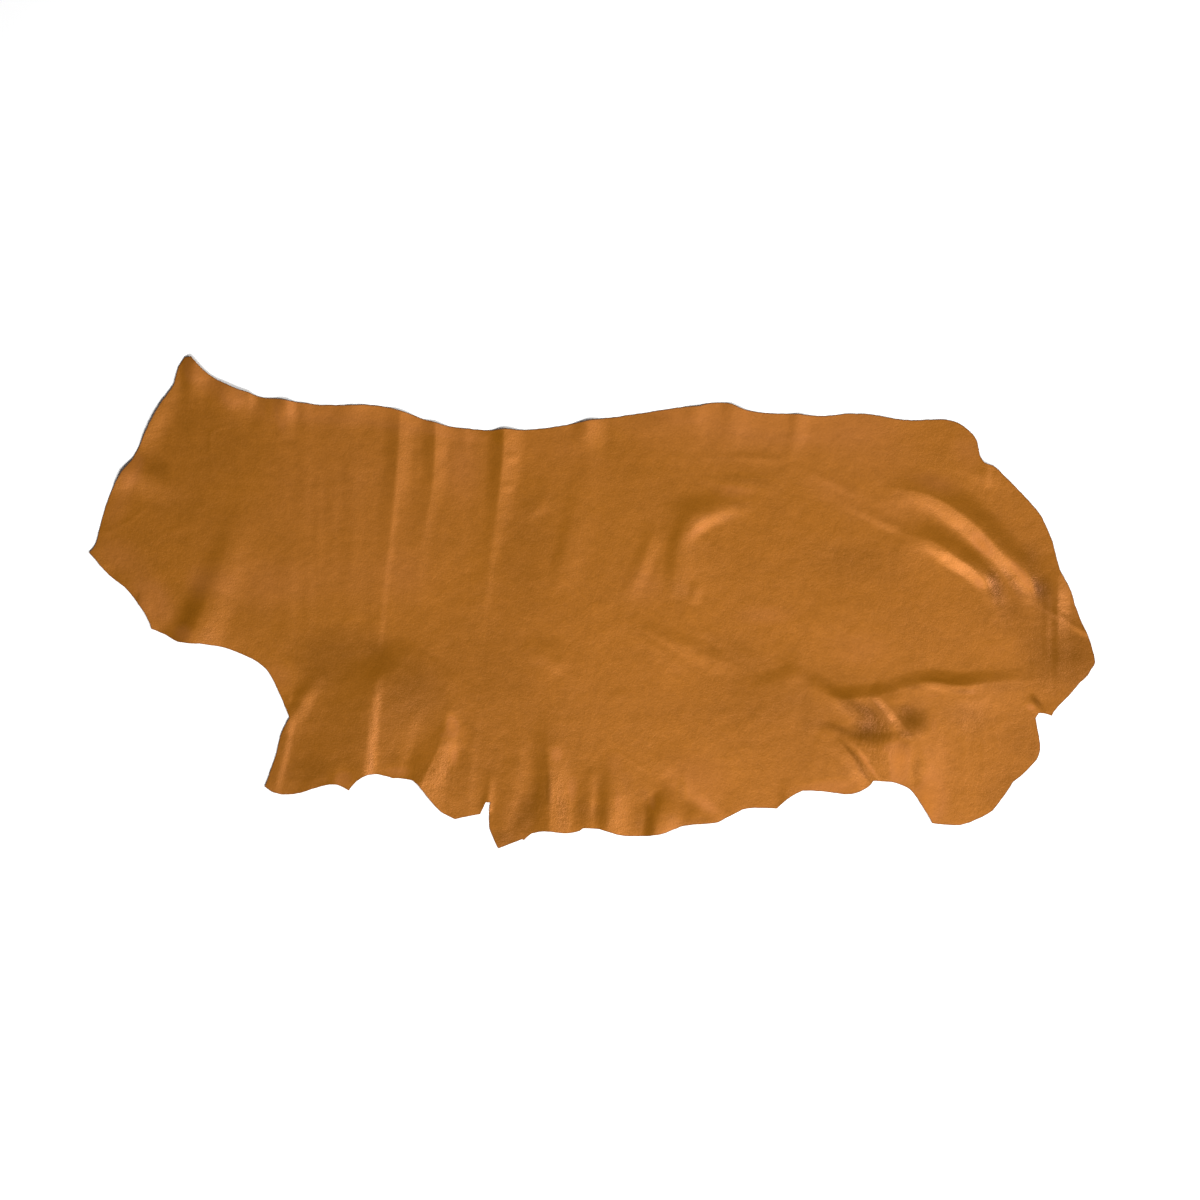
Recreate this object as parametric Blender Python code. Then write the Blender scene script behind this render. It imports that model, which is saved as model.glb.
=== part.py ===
"""Leather side: one half of a cow hide, tanned, trimmed along the back and laid out flat, grain side up.

One solid, "hide". Metres, +Z up. z = 0 is the surface that the hide lies on, +X runs from the
neck to the rump and +Y from the belly to the back. The origin is the middle of the hide's
box at z = 0. The tables below are in millimetres, and the folds stand up from the flat.
"""

import math

import bmesh
import bpy
import numpy as np
from mathutils.geometry import delaunay_2d_cdt

MM = 0.001
THICKNESS = 1.4 * MM  # the leather, split and shaved to one thickness
CORNER = math.radians(38)  # the cut edge is rounded where it turns less than this
EDGE_STEP = 26 * MM  # longest straight facet along the cut edge
FOLD_STEP = 26 * MM  # spacing of the mesh's rows along a fold
FLAT_STEP = 64 * MM  # spacing of the mesh where the hide lies flat
CLOSEST = 9 * MM  # no two mesh points inside the edge are nearer than this
COLOUR = (0.355, 0.128, 0.020, 1.0)
ROUGHNESS = 0.46


def table(columns, *rows):
    """Rows of a table as dictionaries, one for each row, by column name."""
    names = columns.split()
    return [dict(zip(names, row)) for row in rows]


# The cut edge, anticlockwise seen from above, as arcs. A row is where one section starts. Each
# arc bows as far as it must for the edge to turn evenly through the points that aren't corners.
NECK = table(
    "x y",
    (-922, 566),
    (-936, 564),
    (-951, 541),
    (-961, 503),
    (-984, 470),
    (-1017, 415),
    (-1040, 362),
    (-1060, 326),
    (-1081, 302),
    (-1103, 261),
    (-1125, 199),
    (-1137, 150),
    (-1142, 133),
    (-1156, 115),
)
BRISKET = table(
    "x y",
    (-1132, 86),
    (-1104, 57),
    (-1076, 36),
    (-1043, -5),
    (-1022, -37),
    (-1013, -61),
    (-980, -75),
    (-954, -90),
    (-902, -95),
    (-856, -102),
    (-791, -126),
    (-751, -152),
    (-721, -205),
)
FORE_SHANK = table(
    "x y",
    (-696, -265),
    (-715, -302),
    (-725, -345),
    (-753, -423),
    (-738, -434),
    (-695, -442),
    (-653, -433),
    (-603, -419),
    (-583, -420),
    (-559, -433),
    (-550, -421),
)
CHEST = table(
    "x y",
    (-527, -402),
    (-492, -396),
    (-458, -405),
    (-412, -410),
    (-397, -424),
    (-348, -482),
    (-315, -499),
    (-257, -487),
    (-244, -460),
    (-234, -460),
    (-236, -521),
)
BELLY = table(
    "x y",
    (-215, -566),
    (-161, -545),
    (-156, -547),
    (-138, -532),
    (-85, -529),
    (-28, -526),
    (-20, -520),
    (18, -522),
    (57, -534),
    (103, -538),
    (172, -530),
    (203, -516),
    (248, -510),
    (290, -506),
    (345, -477),
    (375, -473),
    (425, -474),
    (455, -449),
)
FLANK = table(
    "x y",
    (485, -433),
    (580, -442),
    (642, -419),
    (647, -411),
    (688, -413),
    (728, -428),
)
HIND_SHANK = table(
    "x y",
    (754, -460),
    (782, -507),
    (846, -512),
    (888, -498),
    (922, -478),
    (969, -413),
    (1023, -362),
    (1030, -345),
    (1029, -312),
    (1020, -267),
    (1027, -254),
)
RUMP = table(
    "x y",
    (1051, -258),
    (1057, -261),
    (1062, -252),
    (1096, -217),
    (1124, -184),
    (1141, -168),
    (1148, -154),
    (1157, -140),
    (1156, -128),
    (1136, -66),
    (1112, -8),
    (1103, 25),
    (1078, 71),
    (1063, 127),
    (1031, 202),
    (985, 254),
    (946, 293),
)
TAIL = table(
    "x y",
    (922, 315),
    (903, 322),
    (892, 338),
    (886, 371),
    (865, 397),
    (835, 416),
)
LOIN = table(
    "x y",
    (796, 421),
    (736, 418),
    (692, 423),
    (644, 432),
    (582, 434),
    (518, 428),
    (478, 433),
    (432, 434),
    (356, 443),
    (329, 454),
)
BACK = table(
    "x y",
    (322, 457),
    (248, 453),
    (156, 442),
    (64, 427),
    (0, 420),
    (-44, 411),
    (-131, 398),
    (-168, 397),
    (-200, 400),
    (-228, 396),
)
WITHERS = table(
    "x y",
    (-281, 399),
    (-329, 405),
    (-361, 415),
    (-386, 421),
    (-432, 439),
    (-488, 452),
    (-527, 455),
    (-591, 453),
    (-642, 456),
    (-690, 463),
    (-722, 469),
    (-750, 470),
    (-793, 484),
    (-843, 503),
    (-882, 525),
)
EDGES = (NECK, BRISKET, FORE_SHANK, CHEST, BELLY, FLANK, HIND_SHANK, RUMP, TAIL, LOIN, BACK, WITHERS)

# The main folds. Each is a soft ridge along its crest, a smooth line through the points given,
# which are x, y and the ridge's height there. left and right are its widths on the two sides of
# the crest, seen along it from its first point, and narrows is what is left of them at its end;
# sharp goes from 0, a round crest, to 1, a creased one.
FOLDS = table(
    "fold crest left right narrows sharp",
    ("withers 1", ((-441, 455, 4.6), (-445, 370, 5.2), (-450, 300, 4.6), (-456, 230, 2.4), (-463, 160, 0.8), (-470, 100, 0)), 44, 40, 0.8, 0.5),
    ("withers 2", ((-361, 425, 5.6), (-362, 350, 5.2), (-365, 290, 3.4), (-372, 240, 1.6), (-382, 190, 0.5), (-390, 130, 0)), 42, 36, 0.7, 0.5),
    ("withers 3", ((-203, 410, 8.2), (-205, 340, 7.4), (-212, 270, 5.2), (-220, 200, 2.4), (-228, 150, 0.9), (-235, 100, 0.4), (-242, 40, 0)), 60, 42, 0.6, 0.5),
    ("back nick", ((-14, 435, 7.4), (-11, 395, 5.4), (-6, 350, 1.6), (-4, 300, 0.6), (-4, 240, 0)), 54, 44, 0.8, 0.2),
    ("neck tip", ((-909, 580, 10.0), (-913, 530, 8.0), (-918, 485, 2.4), (-922, 445, 0)), 62, 36, 1, 0),
    ("neck corner", ((-831, 520, 8.0), (-829, 480, 6.8), (-831, 440, 2.2), (-835, 400, 0)), 52, 72, 1, 0),
    ("neck side", ((-1105, 306, 7.2), (-1060, 301, 7.4), (-1028, 286, 5.4), (-995, 272, 3.2), (-955, 264, 1.2), (-915, 284, 0)), 62, 66, 0.7, 0.1),
    ("neck edge", ((-983, 532, 4.2), (-1014, 460, 7.2), (-1048, 392, 5.8), (-1068, 340, 0)), 72, 50, 1, 0),
    ("brisket", ((-938, -115, 5.2), (-907, -50, 6.8), (-884, 0, 7.0), (-862, 50, 5.8), (-845, 100, 3.8), (-826, 160, 1.8), (-800, 215, 0)), 70, 88, 0.6, 0),
    ("brisket roll", ((-940, -115, 5.0), (-909, -50, 5.4), (-888, -5, 2.6), (-872, 30, 0)), 44, 180, 1, 0.1),
    ("fore notch", ((-697, -276, 1.8), (-674, -242, 2.6), (-657, -210, 2.4), (-641, -184, 1.3), (-600, -150, 0)), 30, 34, 1, 0.25),
    ("fore shank", ((-696, -245, 1.2), (-703, -310, 2.3), (-713, -360, 2.3), (-724, -400, 2.0), (-733, -450, 1.4)), 20, 74, 1, 0.2),
    ("elbow", ((-660, -178, 0), (-600, -182, 0.8), (-545, -188, 2.4), (-500, -186, 5.4), (-458, -166, 6.8), (-428, -138, 4.2), (-400, -98, 0)), 72, 200, 1, 0),
    ("chest 1", ((-493, -148, 0), (-498, -180, 2.0), (-504, -215, 3.5), (-514, -290, 4.6), (-522, -350, 5.2), (-530, -415, 5.8)), 24, 100, 1.5, 0.2),
    ("chest 2", ((-326, -205, 0), (-335, -255, 1.4), (-345, -310, 3.4), (-361, -350, 5.2), (-383, -395, 6.2), (-402, -440, 6.2)), 50, 62, 1, 0.4),
    ("chest notch", ((-241, -470, 2.8), (-237, -430, 2.0), (-234, -385, 0)), 20, 18, 1, 0.4),
    ("belly 1", ((-103, -250, 0), (-104, -290, 1.2), (-105, -320, 3.0), (-102, -345, 4.8), (-99, -400, 7.6), (-98, -470, 7.6), (-97, -545, 7.2)), 50, 38, 1.4, 0.42),
    ("belly 2", ((43, -335, 0), (42, -380, 1.2), (42, -410, 3.0), (41, -450, 5.2), (37, -490, 6.2), (29, -545, 6.4)), 50, 34, 1.2, 0.15),
    ("belly 3", ((168, -403, 0), (167, -450, 3.0), (154, -490, 6.6), (143, -550, 8.2)), 62, 34, 1, 0.1),
    ("belly 4", ((138, -446, 0), (160, -474, 3.0), (192, -496, 5.0), (226, -510, 4.8), (258, -520, 2.2), (290, -534, 0)), 56, 90, 1, 0.1),
    ("oval", ((370, 222, 0), (328, 222, 2.1), (284, 210, 4.8), (250, 193, 5.4), (225, 172, 4.2), (210, 148, 2.2), (203, 118, 1.1), (202, 80, 1.0), (206, 40, 0.8), (214, 5, 0)), 37, 60, 1, 0.1),
    ("oval roll", ((262, 210, 0), (224, 188, 2.0), (206, 152, 3.8), (197, 112, 3.8), (193, 72, 3.4), (194, 40, 2.0), (197, 10, 0)), 130, 32, 1, 0.2),
    ("centre", ((150, 178, 0), (132, 135, 1.9), (117, 95, 2.2), (100, 52, 1.6), (84, 10, 0)), 32, 30, 1, 0.2),
    ("rump 1", ((670, 262, 0), (722, 259, 3.6), (765, 251, 6.2), (806, 233, 8.6), (848, 206, 10.9), (883, 178, 12.3), (911, 150, 12.9), (938, 121, 12.6), (961, 98, 11.6), (980, 77, 10.6), (997, 50, 8.8), (1010, 22, 5.2), (1021, -10, 2.0), (1031, -52, 0)), 58, 50, 0.95, 0.38),
    ("rump 2", ((700, 158, 0), (744, 152, 2.0), (786, 140, 6.0), (817, 120, 8.8), (846, 100, 9.6), (874, 82, 9.6), (897, 60, 8.2), (911, 35, 4.6), (920, 2, 2.0), (928, -38, 0.8), (932, -85, 0)), 52, 42, 0.8, 0.3),
    ("flank 1", ((440, -168, 0), (500, -192, 0.9), (540, -212, 3.0), (580, -221, 5.6), (620, -219, 4.6), (660, -213, 3.0), (700, -202, 3.2), (740, -190, 4.0), (780, -182, 3.8), (810, -186, 5.2), (840, -191, 6.4), (870, -190, 5.8), (910, -185, 4.0), (960, -181, 2.6), (1010, -178, 1.4), (1060, -174, 0)), 34, 130, 1, 0.4),
    ("flank 2", ((560, -312, 0), (585, -336, 1.6), (608, -362, 2.8), (628, -392, 3.6), (646, -424, 3.8)), 20, 34, 1, 0.3),
    ("flank 3", ((640, -196, 0), (659, -213, 2.4), (680, -232, 3.8), (700, -256, 4.4), (714, -278, 4.0), (726, -299, 2.2), (737, -320, 0.8), (748, -345, 0)), 40, 26, 1, 0.1),
    ("hind shank", ((702, -319, 0), (718, -316, 2.2), (734, -312, 5.2), (749, -308, 6.2), (766, -303, 4.6), (786, -296, 2.0), (808, -290, 0)), 64, 120, 1, 0),
    ("hind notch", ((1010, -210, 0), (1023, -230, 2.8), (1037, -256, 3.4)), 12, 28, 1, 0.3),
)

# Where the cut edge curls up off the flat: the middle of the curl, how far it reaches along X
# and Y, and how high.
CURLS = table(
    "place x y across along rise",
    ("neck point", -1156, 115, 90, 90, 2.0),
    ("fore shank tip", -745, -430, 80, 80, 2),
    ("chest jag", -559, -433, 60, 60, 3),
    ("belly point", -215, -566, 85, 85, 1.5),
    ("hind shank tip", 782, -507, 120, 120, 2.5),
    ("hind hook", 1057, -261, 45, 45, 2),
    ("rump point", 1157, -134, 110, 110, 2.5),
    ("tail", 900, 322, 70, 70, 2),
)


def turns(points):
    """How far the edge turns at each point, above 0 to the left, and 0 at a corner, where it turns more than CORNER."""
    before, after = points - np.roll(points, 1, 0), np.roll(points, -1, 0) - points
    turn = np.arctan2(before[:, 0] * after[:, 1] - before[:, 1] * after[:, 0], (before * after).sum(1))
    return np.where(np.abs(turn) > CORNER, 0, turn)


def edge_points():
    """The closed edge: each section's arc, cut into facets no longer than EDGE_STEP."""
    points = np.array([(row["x"], row["y"]) for part in EDGES for row in part]) * MM
    chords = np.roll(points, -1, 0) - points
    lengths = np.hypot(*chords.T)
    turn = turns(points)
    before = turn * lengths / (lengths + np.roll(lengths, 1))
    after = np.roll(turn * np.roll(lengths, 1) / (lengths + np.roll(lengths, 1)), -1)
    bows = lengths / 8 * (before + after)
    out = []
    for start, chord, bow in zip(points, chords, bows):
        out_of = np.array([chord[1], -chord[0]]) / np.hypot(*chord)
        count = max(1, math.ceil(np.hypot(*chord) / EDGE_STEP))
        for k in range(count):
            u = k / count
            out.append(start + u * chord + 4 * u * (1 - u) * bow * out_of)
    return np.array(out)


def smooth_line(points, step):
    """A Catmull-Rom line through the points, which are x, y and height, as points about step apart."""
    p = np.array(points, float) * MM
    p = np.vstack([2 * p[0] - p[1], p, 2 * p[-1] - p[-2]])
    out = []
    for a, b, c, d in zip(p, p[1:], p[2:], p[3:]):
        for t in np.arange(0, 1, 1 / max(1, round(np.hypot(*(c - b)[:2]) / step))):
            out.append(0.5 * (2 * b + (c - a) * t + (2 * a - 5 * b + 4 * c - d) * t**2 + (3 * b - a - 3 * c + d) * t**3))
    return np.array(out + [p[-2]])


def along(line, xy):
    """For each point of xy: its signed distance from the line, left of it above 0, how far along it is, 0 to 1, and the line's height there."""
    best = np.full(len(xy), np.inf)
    side, share, tall = np.zeros(len(xy)), np.zeros(len(xy)), np.zeros(len(xy))
    lengths = np.hypot(*np.diff(line[:, :2], axis=0).T)
    reached = np.concatenate([[0], np.cumsum(lengths)])
    for k, (a, b) in enumerate(zip(line, line[1:])):
        run = (b - a)[:2]
        t = np.clip(((xy - a[:2]) @ run) / lengths[k] ** 2, 0, 1)
        off = xy - (a[:2] + t[:, None] * run)
        dist = np.hypot(*off.T)
        near = dist < best
        best[near] = dist[near]
        side[near] = np.where((run[0] * off[:, 1] - run[1] * off[:, 0])[near] >= 0, 1.0, -1.0)
        share[near] = (reached[k] + t[near] * lengths[k]) / reached[-1]
        tall[near] = a[2] + t[near] * (b[2] - a[2])
    return best * side, share, np.maximum(tall, 0)


def fold_height(row, xy):
    """How high one fold lifts the hide at each point."""
    off, share, tall = along(smooth_line(row["crest"], FOLD_STEP), xy)
    width = np.where(off >= 0, row["left"], row["right"]) * (1 + (row["narrows"] - 1) * share) * MM
    u = np.clip(np.abs(off) / width, 0, 1)
    round_crest = 0.5 * (1 + np.cos(math.pi * u))
    creased = (1 - u) ** 2
    return tall * ((1 - row["sharp"]) * round_crest + row["sharp"] * creased)


def height(xy):
    """The underside's height above the surface."""
    z = np.zeros(len(xy))
    for row in FOLDS:
        z += fold_height(row, xy)
    for row in CURLS:
        u = np.hypot((xy[:, 0] / MM - row["x"]) / row["across"], (xy[:, 1] / MM - row["y"]) / row["along"])
        u = np.clip(u, 0, 1)
        z += row["rise"] * MM * (1 - u) ** 2 * (1 + 2 * u)
    z[z < 0.00012] = 0  # flat where it touches
    return z


def inside(edge, xy):
    """Which points lie within the edge."""
    found = np.zeros(len(xy), bool)
    for (x1, y1), (x2, y2) in zip(edge, np.roll(edge, -1, axis=0)):
        crosses = (y1 > xy[:, 1]) != (y2 > xy[:, 1])
        with np.errstate(divide="ignore", invalid="ignore"):
            found ^= crosses & (xy[:, 0] < (x2 - x1) * (xy[:, 1] - y1) / (y2 - y1) + x1)
    return found


def inner_points(edge):
    """Mesh points inside the edge: rows along every fold and curl, then a wide lattice where it is flat."""
    wanted = []
    for row in FOLDS:
        line = smooth_line(row["crest"], FOLD_STEP)[:, :2]
        ahead = np.gradient(line, axis=0)
        ahead /= np.hypot(*ahead.T)[:, None]
        left_of = np.column_stack([-ahead[:, 1], ahead[:, 0]])
        narrowed = np.linspace(1, row["narrows"], len(line))[:, None]
        for share in (0, -0.38, 0.38, -0.7, 0.7, -1, 1):
            width = (row["left"] if share > 0 else row["right"]) * MM
            wanted.append(line + share * width * narrowed * left_of)
    for row in CURLS:
        for share in (0.3, 0.65, 1.0):
            across, along_y = share * row["across"] * MM, share * row["along"] * MM
            count = max(6, round(2 * math.pi * max(across, along_y) / FOLD_STEP))
            turn = np.arange(count) * 2 * math.pi / count
            ring = np.column_stack([across * np.cos(turn), along_y * np.sin(turn)])
            wanted.append(ring + np.array([row["x"], row["y"]]) * MM)
    low, high = edge.min(0), edge.max(0)
    rows = np.arange(low[1], high[1], FLAT_STEP * math.sqrt(0.75))
    for k, y in enumerate(rows):
        x = np.arange(low[0] + (k % 2) * FLAT_STEP / 2, high[0], FLAT_STEP)
        wanted.append(np.column_stack([x, np.full(len(x), y)]))
    sizes = [len(w) for w in wanted]
    gaps = np.repeat([CLOSEST] * (len(wanted) - len(rows)) + [FLAT_STEP * 0.55] * len(rows), sizes)
    xy = np.vstack(wanted)
    keep = inside(edge, xy)
    xy, gaps = xy[keep], gaps[keep]
    kept = [tuple(p) for p in edge]
    first = len(kept)
    for p, gap in zip(xy, gaps):
        near = np.array(kept)
        dist = np.hypot(near[:, 0] - p[0], near[:, 1] - p[1])
        if dist[:first].min() > min(gap, 0.016) * 0.8 and (len(kept) == first or dist[first:].min() > gap):
            kept.append(tuple(p))
    return np.array(kept[first:])


def build():
    edge = edge_points()
    centre = (edge.min(0) + edge.max(0)) / 2
    inner = inner_points(edge)
    flat = np.vstack([edge, inner])
    count = len(edge)
    loop = [(k, (k + 1) % count) for k in range(count)]
    points, _, faces, _, _, _ = delaunay_2d_cdt([tuple(p) for p in flat], loop, [], 1, 1e-6)
    assert len(points) == len(flat)
    xy = np.array([tuple(p) for p in points])
    z = height(xy)
    xy = xy - centre

    made = bmesh.new()
    under = [made.verts.new((x, y, h)) for (x, y), h in zip(xy, z)]
    over = [made.verts.new((x, y, h + THICKNESS)) for (x, y), h in zip(xy, z)]
    for a, b, c in faces:
        (ax, ay), (bx, by), (cx, cy) = xy[a], xy[b], xy[c]
        if (bx - ax) * (cy - ay) - (by - ay) * (cx - ax) < 0:
            b, c = c, b
        made.faces.new((over[a], over[b], over[c]))
        made.faces.new((under[a], under[c], under[b]))
    for a, b in loop:
        made.faces.new((under[a], under[b], over[b], over[a]))
    bmesh.ops.triangulate(made, faces=[f for f in made.faces if len(f.verts) > 3])
    mesh = bpy.data.meshes.new("hide")
    made.to_mesh(mesh)
    made.free()
    return mesh


for thing in list(bpy.data.objects):
    bpy.data.objects.remove(thing, do_unlink=True)

leather = bpy.data.materials.new("leather")
leather.use_nodes = True
shader = leather.node_tree.nodes["Principled BSDF"]
shader.inputs["Base Color"].default_value = COLOUR
shader.inputs["Roughness"].default_value = ROUGHNESS
shader.inputs["Metallic"].default_value = 0.0

mesh = build()
mesh.materials.append(leather)
mesh.shade_smooth()
mesh.set_sharp_from_angle(angle=math.radians(40))
hide = bpy.data.objects.new("hide", mesh)
bpy.context.scene.collection.objects.link(hide)
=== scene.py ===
import math

import bpy
import numpy as np
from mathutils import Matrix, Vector
from mathutils.geometry import delaunay_2d_cdt
from mathutils.kdtree import KDTree


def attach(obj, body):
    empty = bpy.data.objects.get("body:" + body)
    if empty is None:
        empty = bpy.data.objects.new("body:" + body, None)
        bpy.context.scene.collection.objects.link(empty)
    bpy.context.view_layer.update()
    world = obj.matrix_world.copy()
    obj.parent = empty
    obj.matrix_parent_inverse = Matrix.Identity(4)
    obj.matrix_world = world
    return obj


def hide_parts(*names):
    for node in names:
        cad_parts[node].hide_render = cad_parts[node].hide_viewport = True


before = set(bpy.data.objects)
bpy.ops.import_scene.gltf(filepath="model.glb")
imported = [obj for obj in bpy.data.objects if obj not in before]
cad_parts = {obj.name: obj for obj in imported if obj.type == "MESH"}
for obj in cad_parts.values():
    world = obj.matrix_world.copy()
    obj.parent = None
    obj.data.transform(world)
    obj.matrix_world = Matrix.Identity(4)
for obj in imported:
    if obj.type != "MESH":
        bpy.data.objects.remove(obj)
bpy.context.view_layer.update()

# A leather side laid out flat, grain side up. One closed sheet: the grain side is a fine mesh on
# the folds below, the flesh side a coarser one, and a narrow band between them is the cut edge.
# The tables are in millimetres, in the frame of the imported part.

MM = 0.001
THICKNESS = 1.4 * MM
CORNER = math.radians(38)  # the cut edge is rounded where it turns less than this
CENTRE = np.array([0.5, 0.0]) * MM  # the edge table's own middle, which the part has at its origin
EDGE_STEP = 4.2 * MM  # the mesh's spacing along the cut edge
BEVEL = 1.1 * MM  # how far in from the cut the grain side starts to round off
FINE_STEP = 4.3 * MM  # spacing of the grain side on folds and creases
FLAT_STEP = 7.6 * MM  # spacing of the grain side elsewhere
UNDER = 2.1  # the flesh side's spacing, as a multiple of the grain side's
SEED = 7


def table(columns, *rows):
    """Rows of a table as dictionaries, one for each row, by column name."""
    names = columns.split()
    return [dict(zip(names, row)) for row in rows]


# The cut edge, anticlockwise seen from above, as arcs. A row is where one section starts. Each
# arc bows as far as it must for the edge to turn evenly through the points that aren't corners.
NECK = table(
    "x y",
    (-922, 566),
    (-936, 564),
    (-951, 541),
    (-961, 503),
    (-984, 470),
    (-1017, 415),
    (-1040, 362),
    (-1060, 326),
    (-1081, 302),
    (-1103, 261),
    (-1125, 199),
    (-1137, 150),
    (-1142, 133),
    (-1156, 115),
)
BRISKET = table(
    "x y",
    (-1132, 86),
    (-1104, 57),
    (-1076, 36),
    (-1043, -5),
    (-1022, -37),
    (-1013, -61),
    (-980, -75),
    (-954, -90),
    (-902, -95),
    (-856, -102),
    (-791, -126),
    (-751, -152),
    (-721, -205),
)
FORE_SHANK = table(
    "x y",
    (-696, -265),
    (-715, -302),
    (-725, -345),
    (-753, -423),
    (-738, -434),
    (-695, -442),
    (-653, -433),
    (-603, -419),
    (-583, -420),
    (-559, -433),
    (-550, -421),
)
CHEST = table(
    "x y",
    (-527, -402),
    (-492, -396),
    (-458, -405),
    (-412, -410),
    (-397, -424),
    (-348, -482),
    (-315, -499),
    (-257, -487),
    (-244, -460),
    (-234, -460),
    (-236, -521),
)
BELLY = table(
    "x y",
    (-215, -566),
    (-161, -545),
    (-156, -547),
    (-138, -532),
    (-85, -529),
    (-28, -526),
    (-20, -520),
    (18, -522),
    (57, -534),
    (103, -538),
    (172, -530),
    (203, -516),
    (248, -510),
    (290, -506),
    (345, -477),
    (375, -473),
    (425, -474),
    (455, -449),
)
FLANK = table(
    "x y",
    (485, -433),
    (580, -442),
    (642, -419),
    (647, -411),
    (688, -413),
    (728, -428),
)
HIND_SHANK = table(
    "x y",
    (754, -460),
    (782, -507),
    (846, -512),
    (888, -498),
    (922, -478),
    (969, -413),
    (1023, -362),
    (1030, -345),
    (1029, -312),
    (1020, -267),
    (1027, -254),
)
RUMP = table(
    "x y",
    (1051, -258),
    (1057, -261),
    (1062, -252),
    (1096, -217),
    (1124, -184),
    (1141, -168),
    (1148, -154),
    (1157, -140),
    (1156, -128),
    (1136, -66),
    (1112, -8),
    (1103, 25),
    (1078, 71),
    (1063, 127),
    (1031, 202),
    (985, 254),
    (946, 293),
)
TAIL = table(
    "x y",
    (922, 315),
    (903, 322),
    (892, 338),
    (886, 371),
    (865, 397),
    (835, 416),
)
LOIN = table(
    "x y",
    (796, 421),
    (736, 418),
    (692, 423),
    (644, 432),
    (582, 434),
    (518, 428),
    (478, 433),
    (432, 434),
    (356, 443),
    (329, 454),
)
BACK = table(
    "x y",
    (322, 457),
    (248, 453),
    (156, 442),
    (64, 427),
    (0, 420),
    (-44, 411),
    (-131, 398),
    (-168, 397),
    (-200, 400),
    (-228, 396),
)
WITHERS = table(
    "x y",
    (-281, 399),
    (-329, 405),
    (-361, 415),
    (-386, 421),
    (-432, 439),
    (-488, 452),
    (-527, 455),
    (-591, 453),
    (-642, 456),
    (-690, 463),
    (-722, 469),
    (-750, 470),
    (-793, 484),
    (-843, 503),
    (-882, 525),
)
EDGES = (NECK, BRISKET, FORE_SHANK, CHEST, BELLY, FLANK, HIND_SHANK, RUMP, TAIL, LOIN, BACK, WITHERS)

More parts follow.
